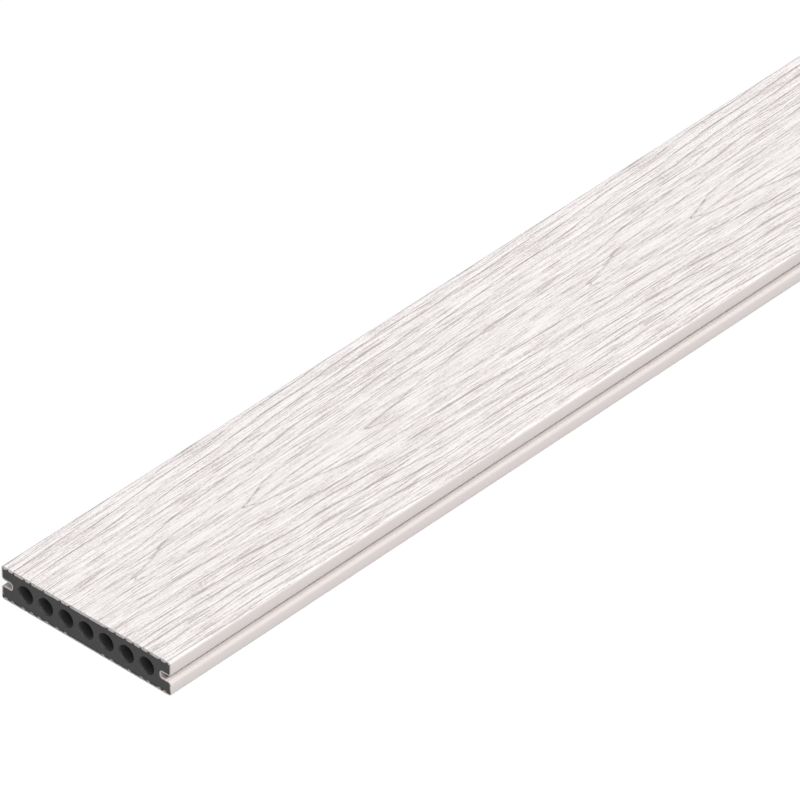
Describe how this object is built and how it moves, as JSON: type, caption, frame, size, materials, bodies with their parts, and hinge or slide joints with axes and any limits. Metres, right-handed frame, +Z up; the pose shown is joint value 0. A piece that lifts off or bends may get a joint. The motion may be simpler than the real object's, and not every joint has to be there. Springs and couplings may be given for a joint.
{
  "type": "decking board",
  "caption": "Straight flat deck board with a pale wood-grained outer layer, a dark core hollowed by round chambers, and a clip slot along each side.",
  "frame": {"origin": "middle of the underside: halfway along the length and across the width, on the lower face", "axes": "+X along the board, +Y across its width, +Z up through its thickness, with the pictured face upwards and the pictured end at -X"},
  "size_m": [2.2, 0.14, 0.025],
  "materials": {
    "core_composite": "dark grey wood-filled composite, sawn and matt",
    "cap_polymer": "off-white wood-filled polymer layer, embossed with wood grain, satin"
  },
  "bodies": {
    "root": {"core": "core_composite", "cap_layer": "cap_polymer"}
  },
  "joints": []
}
